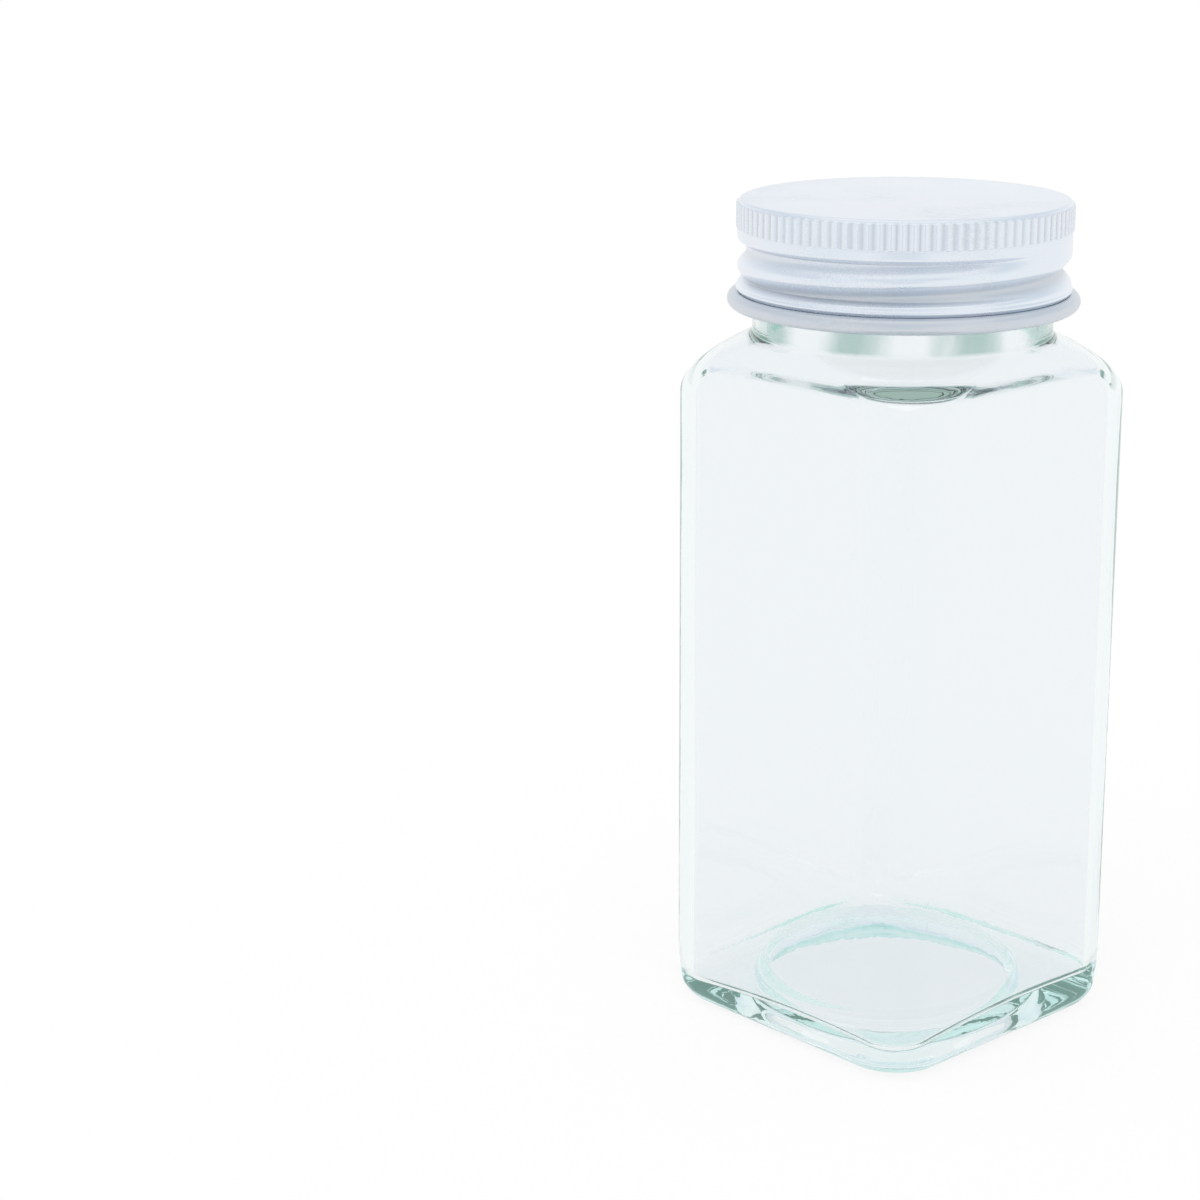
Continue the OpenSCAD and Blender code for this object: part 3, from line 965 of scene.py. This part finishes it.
    def _inside(self) -> np.ndarray:
        """The inside: shoulder, walls, the deep heel and the crowned floor, downwards.

        The shoulder has a ledge at one corner and the flats beside it, which fades with the
        cosine of the direction. The blown walls wander by the mean of slow sines of height and
        direction.
        """
        low = self.body_h - self.wall * self.inner_drop_share
        face = self.half_w - self.wall
        diagonal = self._diagonal(face, self.inner_corner_r)
        shape = Shoulder(low, self._throat_z() - low, face, diagonal, self.bore_r,
                         self.inner_fillet, self.inner_bend)
        u = between(self.inner_end, 0.0, self.shoulder_rings)
        plain, ledged = self._shoulder(u, shape), self._shoulder(u, shape, self.ledge_share)
        turns = np.radians(self._columns()[0])
        facing = np.cos(turns - math.radians(self.ledge_turn))
        near = smooth((facing - self.ledge_from) / self.ledge_fade)
        shoulder = plain + (ledged - plain) * near[None, :, None]
        heel_top = self.floor_z + self.heel_gap
        z = between(low, heel_top, self.inner_wall_rings)
        waves = [np.sin(z[:, None] / length + times * turns + phase)
                 for length, times, phase in self.waves]
        ends = window(z, heel_top, low, self.wave_fade)[:, None]
        push = -self.unevenness * (sum(waves) / len(waves) + 1.0) / 2.0 * ends
        wall = self._rings(z, face, diagonal, push)
        return np.concatenate([shoulder, wall, self._floor(face, diagonal, heel_top)])

    def _floor(self, face: float, diagonal: float, top: float) -> np.ndarray:
        """The lowest part of the wall, the inner heel and the floor down to its middle.

        The heel is a quarter circle, which is added to the floor's height with a share of what
        is left of the wall above it. The rings pass from the wall's square to round ones.

        Args:
            face: Half-width of the inner walls.
            diagonal: Their reach at the corners.
            top: Height at which the wall above ends.

        Returns:
            Rings by columns by three.
        """
        t = np.radians(between(QUARTER_TURN, 0.0, self.inner_heel_rings))
        inset = self.inner_heel_r * (1.0 - np.sin(t))
        edge = self.floor_r - self.floor_margin
        middle = between(edge, 0.0, self.floor_rings)[:-1]
        faces, diagonals = (
            np.concatenate([low, between(low[-1], edge, self.moat_rings), middle])
            for low in (face - inset, diagonal - inset)
        )
        rings = self._rings(0.0, faces, diagonals)
        lift = self.inner_heel_r * (1.0 - np.cos(t))
        lift = np.pad(lift, (0, len(faces) - len(lift)))
        rings[:, :, 2] = self._floor_height(rings[:, :, 0], rings[:, :, 1]) + lift[:, None]
        down = between(0.0, 1.0, self.drop_rings)[:-1]
        wall = self._rings(np.full_like(down, top), face, diagonal)
        heel_start = self._floor_height(wall[0, :, 0], wall[0, :, 1]) + self.inner_heel_r
        wall[:, :, 2] = top + (heel_start - top) * down[:, None]
        return np.concatenate([wall, rings])

    def _floor_height(self, x: np.ndarray, y: np.ndarray) -> np.ndarray:
        """Height of the inner floor over a point.

        The smaller of a crown and a cone that starts at the floor's edge, both of them leaning
        a little, and the larger of that and the moat round it, which falls away from the
        floor's edge and leans from one corner to the opposite one. Both changes are rounded.
        """
        away = np.hypot(x, y)
        lean = self.floor_lean * (x + y) / ROOT2
        crown = self.floor_z + self.floor_crown * (1.0 - (away / self.floor_r) ** 2) + lean
        cone = self.floor_z - self.floor_fall * (away - self.floor_r) + lean
        moat = self.moat_z - self.moat_fall * np.clip(away - self.floor_r, 0.0, None)
        moat = moat + self.moat_lean * (x - y) / (2.0 * self.half_w)
        return round_max(round_min(crown, cone, self.floor_round), moat, self.moat_round)


# The sifter and the liner


@dataclass
class SifterInsert:
    """The plug-in sifter, made from a merged copy of its CAD node with eased edges.

    Lengths are in metres and angles in degrees.
    """

    ease: float = 0.00014
    merge: float = 0.000001
    flat_angle: float = 0.5
    sharp_angle: float = 28.0
    crease_angle: float = 40.0
    segments: int = 2
    profile: float = 0.5

    def build(self, finish: PlasticFinish) -> bpy.types.Object:
        """Copies the CAD node, merges its triangles, rounds its edges and dresses it.

        Args:
            finish: The plastic.

        Returns:
            The sifter.
        """
        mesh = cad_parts["sifter_insert"].data.copy()
        mesh.name = "sifter_plug"
        work = bmesh.new()
        work.from_mesh(mesh)
        bmesh.ops.remove_doubles(work, verts=work.verts, dist=self.merge)
        bmesh.ops.dissolve_limit(work, angle_limit=math.radians(self.flat_angle),
                                 verts=work.verts, edges=work.edges)
        limit = math.radians(self.sharp_angle)
        sharp = [e for e in work.edges if len(e.link_faces) == 2 and e.calc_face_angle() > limit]
        bmesh.ops.bevel(work, geom=sharp, offset=self.ease, offset_type="OFFSET",
                        segments=self.segments, profile=self.profile, affect="EDGES",
                        clamp_overlap=True)
        bmesh.ops.triangulate(work, faces=work.faces)
        bmesh.ops.recalc_face_normals(work, faces=work.faces)
        work.to_mesh(mesh)
        work.free()
        mesh.shade_smooth()
        mesh.set_sharp_from_angle(angle=math.radians(self.crease_angle))
        piece = add_object("sifter_plug", mesh)
        place(piece, Body.JAR, "sifter_insert", finish.material())
        return piece


@dataclass
class CapLiner:
    """The foam disc under the cap, with rounded edges and the rim's pressed mark. Millimetres."""

    low_z: float = 111.9
    thickness: float = 1.05
    radius: float = 20.895
    edge: float = 0.3
    mark_r: float = 19.0
    mark_w: float = 1.1
    mark_depth: float = 0.06
    columns: int = 128
    low_rings: int = 36
    edge_rings: int = 5
    top_rings: int = 6

    def build(self, finish: FoamFinish) -> bpy.types.Object:
        """Builds the disc as a turned profile, from its lower pole to its upper one.

        The mark is a groove whose depth is the cubic step of the distance from its middle.

        Args:
            finish: The foam.

        Returns:
            The liner.
        """
        middle, top = self.radius - self.edge, self.low_z + self.thickness
        r = between(0.0, middle, self.low_rings)
        dent = self.mark_depth * smooth(1.0 - np.abs(r - self.mark_r) / self.mark_w)
        back = between(middle, 0.0, self.top_rings)[:-1]
        profile = np.concatenate([
            np.stack([r, self.low_z + dent], axis=1),
            arc(middle, self.low_z + self.edge, self.edge, -QUARTER_TURN, 0.0, self.edge_rings)[1:],
            arc(middle, top - self.edge, self.edge, 0.0, QUARTER_TURN, self.edge_rings),
            np.stack([back, np.full_like(back, top)], axis=1),
        ])
        skin = RingSkin()
        skin.pole(self.low_z)
        skin.add(spun(profile[:, 0], profile[:, 1], self.columns))
        skin.pole(top)
        piece = skin.build("liner_disc")
        place(piece, Body.LINER, "cap_liner", finish.material())
        return piece


# The cap


@dataclass
class RolledCap:
    """The one-piece rolled metal cap: disc, knurls, rolled thread, flare and curl.

    Lengths are in millimetres and angles in degrees. The shade values are shares of the painted
    shade, which also roughens the metal.
    """

    # Disc and sheet
    top_z: float = 113.2
    sheet: float = 0.25
    edge_r: float = 0.5
    skirt_r: float = 22.0
    # Knurls, with the eases at the band's ends in which their rings lie closer
    knurl_r: float = 22.17
    knurl_wall_r: float = 21.895
    knurl_depth: float = 0.22
    knurls: int = 96
    knurl_top_z: float = 112.85
    knurl_low_z: float = 109.25
    knurl_fade: float = 0.22
    knurl_start_share: float = 0.62
    knurl_top_ease: float = 0.75
    knurl_low_ease: float = 0.5
    knurl_drop: float = 0.25
    # Painted shade in the knurls' valleys
    knurl_hollow: float = 0.35
    # Rolled thread
    roll_top_z: float = 108.25
    groove_turns: float = 1.5
    pitch: float = 4.233
    groove_depth: float = 1.2
    groove_top_angle: float = 286.7
    groove_ease_share: float = 0.2
    fade_share: float = 0.09
    # Painted shade in the groove, darker towards its low end
    hollow_top: float = 0.1
    hollow_low: float = 0.6
    # Flare and curl
    flare: float = 0.2
    full_share: float = 0.6
    swell_share: float = 0.5
    curl_mid_r: float = 22.23
    curl_z: float = 99.93
    curl_line_r: float = 0.955
    curl_start: float = 150.0
    curl_end: float = 470.0
    # Painted shade under the curl, and a painted dark line in the crease above it
    under_curl_shade: float = 0.6
    under_rise: float = 0.3
    crease_shade: float = 0.7
    crease_from: float = 0.2
    crease_width: float = 0.5
    crease_drop: float = 0.2
    # Inside, evenly darkened with painted shade
    skirt_hollow: float = 0.35
    lining_hollow: float = 0.3
    lining_foot: float = 0.4
    # Columns, and rings of each part
    columns: int = 288
    disc_rings: int = 14
    edge_rings: int = 8
    knurl_rings: tuple = (12, 14, 12)
    band_rings: int = 3
    roll_rings: int = 66
    flare_rings: int = 26
    curl_rings: int = 44
    lining_edge_rings: int = 5
    lining_rings: int = 8

    def build(self, finish: MetalFinish) -> bpy.types.Object:
        """Builds the sheet as one closed skin: down its outside, round the curl and up inside.

        Args:
            finish: The metal.

        Returns:
            The cap.
        """
        r, z, hollow = self._middle_line()
        skin = RingSkin()
        skin.pole(self.top_z)
        skin.add(self._disc())
        skin.add(*self._knurls())
        # The outside carries painted shade in groove, crease and curl; the inside is evenly
        # darkened with painted shade
        skin.add(self._side(r, z, 1.0), hollow)
        skin.add(self._side(r, z, -1.0)[::-1], self.skirt_hollow)
        skin.add(self._lining(), self.lining_hollow)
        skin.pole(self.top_z - self.sheet)
        skin.turn_over()
        piece = skin.build("cap_metal_shell")
        place(piece, Body.CAP, "cap_shell", finish.material())
        return piece

    def _disc(self) -> np.ndarray:
        """The flat top out to its rounded edge, and a short way down the wall behind the knurls."""
        middle = self.knurl_wall_r - self.edge_r
        flat = between(0.0, middle, self.disc_rings)
        bend = arc(middle, self.top_z - self.edge_r, self.edge_r, QUARTER_TURN, 0.0,
                   self.edge_rings)[1:-2]
        r = np.concatenate([flat, bend[:, 0]])
        z = np.concatenate([np.full_like(flat, self.top_z), bend[:, 1]])
        return spun(r, z, self.columns)

    def _knurls(self) -> tuple:
        """The knurled band on twice the columns.

        The wall behind it follows the edge's arc and then the plain wall. The knurls add half a
        cosine wave of their depth, sharpened at its valleys, within a window that fades at the
        band's upper and lower end, where the wall moves out to the skirt.

        Returns:
            Rings and their painted shade.
        """
        start = self.top_z - self.edge_r * self.knurl_start_share
        high, low = self.knurl_top_z - self.knurl_top_ease, self.knurl_low_z + self.knurl_low_ease
        end = self.knurl_low_z - self.knurl_drop
        z = np.concatenate([[start]] + [
            between(*ends, rings)
            for ends, rings in zip(((start, high), (high, low), (low, end)), self.knurl_rings)
        ])
        down = np.clip(z - (self.top_z - self.edge_r), 0.0, self.edge_r)
        wall = self.knurl_wall_r - self.edge_r + np.sqrt(self.edge_r ** 2 - down ** 2)
        fade = window(z, self.knurl_low_z, self.knurl_top_z, self.knurl_fade)[:, None]
        out = smooth((self.knurl_low_z + self.knurl_fade - z) / (2.0 * self.knurl_fade))
        wall = wall + (self.skirt_r - self.knurl_wall_r) * out
        columns = self.columns * 2
        valley = (1.0 - np.cos(self.knurls * around(columns))) / 2.0
        rise = self.knurl_r - self.knurl_depth * valley - self.knurl_wall_r
        points = spun(wall[:, None] + fade * rise, z, columns)
        # Painted shade gathered in the knurls' valleys
        return points, self.knurl_hollow * fade * valley ** 3

    def _groove(self, turn: np.ndarray, z: np.ndarray) -> np.ndarray:
        """Depth of the rolled thread.

        Each pass is a squared cosine one pitch wide round its middle, which falls by one pitch a
        turn. The deepest pass counts, faded at the thread's ends and at the zone's edges.

        Args:
            turn: Directions in degrees, along the second axis.
            z: Heights, along the first axis.

        Returns:
            Depths.
        """
        edges = window(z, self._roll_low(), self.roll_top_z, self.pitch * self.groove_ease_share)
        first = np.mod((self.groove_top_angle - turn) / FULL_TURN, 1.0)
        deepest = np.zeros(np.broadcast_shapes(turn.shape, z.shape))
        for lap in range(math.ceil(self.groove_turns) + 1):
            turns = first + lap
            off = (z - self.roll_top_z) / self.pitch + turns
            share = turns / self.groove_turns
            wave = np.where(np.abs(off) < 0.5, np.cos(math.pi * off) ** 2, 0.0)
            deepest = np.maximum(deepest, wave * window(share, 0.0, 1.0, self.fade_share))
        return self.groove_depth * edges * deepest

    def _roll_low(self) -> float:
        """Height at which the rolled thread ends."""
        return self.roll_top_z - self.pitch * self.groove_turns

    def _middle_line(self) -> tuple:
        """The skirt's section in the middle of the sheet, for every column.

        It runs down the plain band and the rolled thread, swells, turns in and goes round the
        curl.

        Returns:
            Radii and heights, of rows by columns, and the painted shade of each point.
        """
        line_r = self.skirt_r - self.sheet / 2.0
        roll_low = self._roll_low()
        band_z = self.knurl_low_z - self.knurl_drop
        roll_z = np.concatenate([between(band_z, self.roll_top_z, self.band_rings),
                                 between(self.roll_top_z, roll_low, self.roll_rings)])[:, None]
        depth = self._groove(np.degrees(around(self.columns))[None, :], roll_z)
        curl = arc(self.curl_mid_r, self.curl_z, self.curl_line_r, self.curl_start, self.curl_end,
                   self.curl_rings)
        start_r, start_z = curl[0]
        s = between(1.0, 0.0, self.flare_rings)[:-1]
        rise = np.clip(s - self.swell_share, 0.0, None) / (1.0 - self.swell_share)
        swell = self.flare * np.sin(math.pi * np.minimum(rise, 1.0)) ** 2
        flare_r = start_r + (line_r - start_r) * smooth(s / self.full_share) + swell
        flare_z = start_z + (roll_low - start_z) * s
        wide = (len(s) + len(curl), self.columns)
        tail_r = np.broadcast_to(np.concatenate([flare_r, curl[:, 0]])[:, None], wide)
        tail_z = np.broadcast_to(np.concatenate([flare_z, curl[:, 1]])[:, None], wide)
        # Painted shade: a dark line in the crease over the curl, and the curl's underside darkened
        crease = np.clip((line_r - self.crease_from - tail_r) / self.crease_width, 0.0, 1.0)
        crease = self.crease_shade * crease * (tail_z > self.curl_z - self.crease_drop)
        under = smooth((self.curl_z + self.under_rise - tail_z) / self.curl_line_r)
        # Painted shade in the groove, darker towards its low end
        down = np.clip((self.roll_top_z - roll_z) / (self.roll_top_z - roll_low), 0.0, 1.0)
        groove_shade = self.hollow_top + (self.hollow_low - self.hollow_top) * down
        r = np.concatenate([line_r - depth, tail_r])
        z = np.concatenate([np.broadcast_to(roll_z, depth.shape), tail_z])
        hollow = np.concatenate([(depth / self.groove_depth) ** 2 * groove_shade,
                                 np.maximum(crease, self.under_curl_shade * under)])
        return r, z, hollow

    def _side(self, r: np.ndarray, z: np.ndarray, side: float) -> np.ndarray:
        """One side of the skirt: the middle line moved half the sheet along its normal.

        The normal is the way along the section turned by a right angle.

        Args:
            r: Radii of the middle line.
            z: Its heights.
            side: 1 for the outside and -1 for the inside.

        Returns:
            Rings by columns by three.
        """
        dr, dz = np.gradient(r, axis=0), np.gradient(z, axis=0)
        half = side * self.sheet / 2.0 / np.hypot(dr, dz)
        return spun(r - half * dz, z + half * dr, self.columns)

    def _lining(self) -> np.ndarray:
        """The inside of the wall behind the knurls and of the disc, up and inwards."""
        wall_r, top = self.knurl_wall_r - self.sheet, self.top_z - self.sheet
        bend_r = self.edge_r - self.sheet
        bend = arc(wall_r - bend_r, top - bend_r, bend_r, 0.0, QUARTER_TURN,
                   self.lining_edge_rings)
        flat = between(wall_r - bend_r, 0.0, self.lining_rings)[:-1]
        r = np.concatenate([[wall_r], bend[:, 0], flat])
        z = np.concatenate([[self.knurl_low_z + self.lining_foot], bend[:, 1],
                            np.full_like(flat, top)])
        return spun(r, z, self.columns)


# Floor, light and camera


@dataclass(frozen=True)
class Card:
    """A plain card that only reflections see. Its sizes are in metres.

    Attributes:
        name: Its name.
        azimuth: Where it stands round the jar, in degrees.
        distance: How far from it.
        width: Its width.
        tone: Its colour and brightness.
        height: Its height above the floor.
    """

    name: str
    azimuth: float
    distance: float
    width: float
    tone: tuple
    height: float = 0.5


@dataclass
class Studio:
    """Floor, cards, world, lamp and camera. Lengths are in metres and angles in degrees."""

    floor_half: float = 6.0
    floor_low: float = 0.00003
    floor_tone: float = 0.8
    grain_scale: float = 30.0
    grain_detail: float = 3.0
    grain_height: float = 0.01
    shadow_share: float = 0.12
    sun_power: float = 0.95
    sun_angle: float = 55.0
    sun_from: tuple = (-0.5, -0.25, 1.0)
    room_level: float = 0.74
    high_tone: tuple = (0.69, 0.76, 0.84)
    high_from: float = 0.08
    high_to: float = 0.8
    over_from: float = 0.55
    over_to: float = 0.88
    lens: float = 85.11
    sensor: float = 36.0
    clip: tuple = (0.01, 30.0)
    eye: tuple = (-0.2799, -0.2501, 0.1632)
    yaw: float = -42.043
    pitch: float = 15.678
    roll: float = -0.297
    cards: tuple = (
        Card("front_flag", 311.8, 0.33, 0.16, (0.84, 0.87, 0.92)),
        Card("left_flag", 262.0, 0.4, 0.22, (0.94, 0.97, 1.0)),
        Card("right_flag", 2.0, 0.4, 0.22, (0.98, 1.0, 1.0)),
    )

    def build(self) -> None:
        """Makes the floor, the cards, the world, the lamp and the camera."""
        self._floor()
        for card in self.cards:
            self._card(card)
        self._world()
        self._sun()
        self._camera()
        bpy.context.scene.view_settings.view_transform = "Standard"

    @staticmethod
    def _sheet(name: str, corners: list, material: bpy.types.Material) -> bpy.types.Object:
        """Makes a four-sided sheet from its corners in metres, with its material."""
        mesh = bpy.data.meshes.new(name)
        mesh.from_pydata(corners, [], [(0, 1, 2, 3)])
        mesh.materials.append(material)
        return add_object(name, mesh)

    def _floor(self) -> bpy.types.Object:
        """Makes the pale floor.

        The eye, mirrors and glass see a share of diffuse white that takes the shadow, and the
        rest as even white. Diffuse light sees a plain pale floor.

        Returns:
            The floor.
        """
        material, nodes = empty_material("pale_floor")
        seen = nodes.seen(nodes.add("LightPath").outputs)
        grain = nodes.noise(nodes.coordinates(), self.grain_scale, self.grain_detail)
        mottled = nodes.summed(1.0 - self.grain_height / 2.0, (grain, self.grain_height))
        share = nodes.add("CombineColor", Red=mottled, Green=mottled, Blue=mottled).outputs[0]
        taking = nodes.blend(1.0, (self.shadow_share,) * 3, share, "MULTIPLY")
        diffuse = nodes.add("BsdfDiffuse", Color=taking)
        glow = nodes.add("Emission", Strength=1.0 - self.shadow_share)
        both = nodes.add("AddShader", i0=diffuse.outputs[0], i1=glow.outputs[0])
        plain = nodes.add("BsdfDiffuse", Color=(self.floor_tone,) * 3)
        mix = nodes.add("MixShader", i0=seen, i1=plain.outputs[0], i2=both.outputs[0])
        nodes.add("OutputMaterial", Surface=mix.outputs[0])
        h, z = self.floor_half, -self.floor_low
        return self._sheet("floor", [(-h, -h, z), (h, -h, z), (h, h, z), (-h, h, z)], material)

    def _card(self, card: Card) -> bpy.types.Object:
        """Makes a standing card at its azimuth round the jar, seen by reflections alone.

        Args:
            card: Where it stands and its tone.

        Returns:
            The card.
        """
        material, nodes = empty_material(card.name)
        glow = nodes.add("Emission", Color=card.tone, Strength=1.0)
        nodes.add("OutputMaterial", Surface=glow.outputs[0])
        a = math.radians(card.azimuth)
        foot = Vector((math.sin(a), -math.cos(a), 0.0)) * card.distance
        along = Vector((math.cos(a), math.sin(a), 0.0)) * card.width / 2.0
        up = Vector((0.0, 0.0, card.height))
        corners = [foot - along, foot + along, foot + along + up, foot - along + up]
        piece = self._sheet(card.name, corners, material)
        for rays in ("camera", "diffuse", "transmission", "shadow"):
            setattr(piece, "visible_" + rays, False)
        return piece

    def _world(self) -> None:
        """Makes an even room.

        The eye sees it as plain white. Mirrors and glass see white at the eye's height, which
        passes into a dimmer blue-grey above as a smooth step of the ray's height, and straight
        overhead into the white of a wide lamp.
        """
        world = bpy.data.worlds.new("studio")
        world.use_nodes = True
        world.node_tree.nodes.clear()
        nodes = Nodes(world.node_tree)
        ray = nodes.add("LightPath").outputs
        height = nodes.add("SeparateXYZ", Vector=nodes.coordinates("Generated")).outputs["Z"]
        high = nodes.step(height, self.high_from, self.high_to)
        for hidden in (nodes.step(height, self.over_from, self.over_to), ray["Is Camera Ray"]):
            high = nodes.maths("MULTIPLY", high, nodes.maths("SUBTRACT", 1.0, hidden))
        colour = nodes.blend(high, WHITE, self.high_tone)
        colour = nodes.blend(nodes.seen(ray), (self.room_level,) * 3, colour)
        back = nodes.add("Background", Color=colour, Strength=1.0)
        nodes.add("OutputWorld", Surface=back.outputs[0])
        bpy.context.scene.world = world

    def _sun(self) -> None:
        """Makes a very soft lamp above, to the left of the camera."""
        lamp = bpy.data.lights.new("soft_key", "SUN")
        lamp.energy = self.sun_power
        lamp.angle = math.radians(self.sun_angle)
        piece = add_object("soft_key", lamp)
        piece.rotation_euler = Vector(self.sun_from).to_track_quat("Z", "Y").to_euler()
        piece.visible_glossy = False

    def _camera(self) -> None:
        """Makes the camera at the photograph's angle: turned by yaw, tipped down, then rolled."""
        yaw, pitch, roll = (math.radians(v) for v in (self.yaw, self.pitch, self.roll))
        turn = Matrix.Rotation(yaw, 3, "Z")
        ahead = turn @ Vector((0.0, math.cos(pitch), -math.sin(pitch)))
        right = turn @ Vector((1.0, 0.0, 0.0))
        up = right.cross(ahead)
        side = math.cos(roll) * right + math.sin(roll) * up
        top = -math.sin(roll) * right + math.cos(roll) * up
        data = bpy.data.cameras.new("photo_view")
        data.lens = self.lens
        data.sensor_width = self.sensor
        data.clip_start, data.clip_end = self.clip
        camera = add_object("photo_view", data)
        rows = Matrix((side, top, -ahead)).transposed()
        camera.matrix_world = Matrix.Translation(self.eye) @ rows.to_4x4()
        bpy.context.scene.camera = camera


def main() -> None:
    """Builds the studio and the four pieces."""
    logging.basicConfig(level=logging.INFO, format="%(name)s: %(message)s")
    Studio().build()
    GlassJar().build(GlassFinish("clear_glass"))
    SifterInsert().build(PlasticFinish("natural_plastic"))
    CapLiner().build(FoamFinish("white_foam"))
    RolledCap().build(MetalFinish("rolled_metal"))


if __name__ == "__main__":
    main()
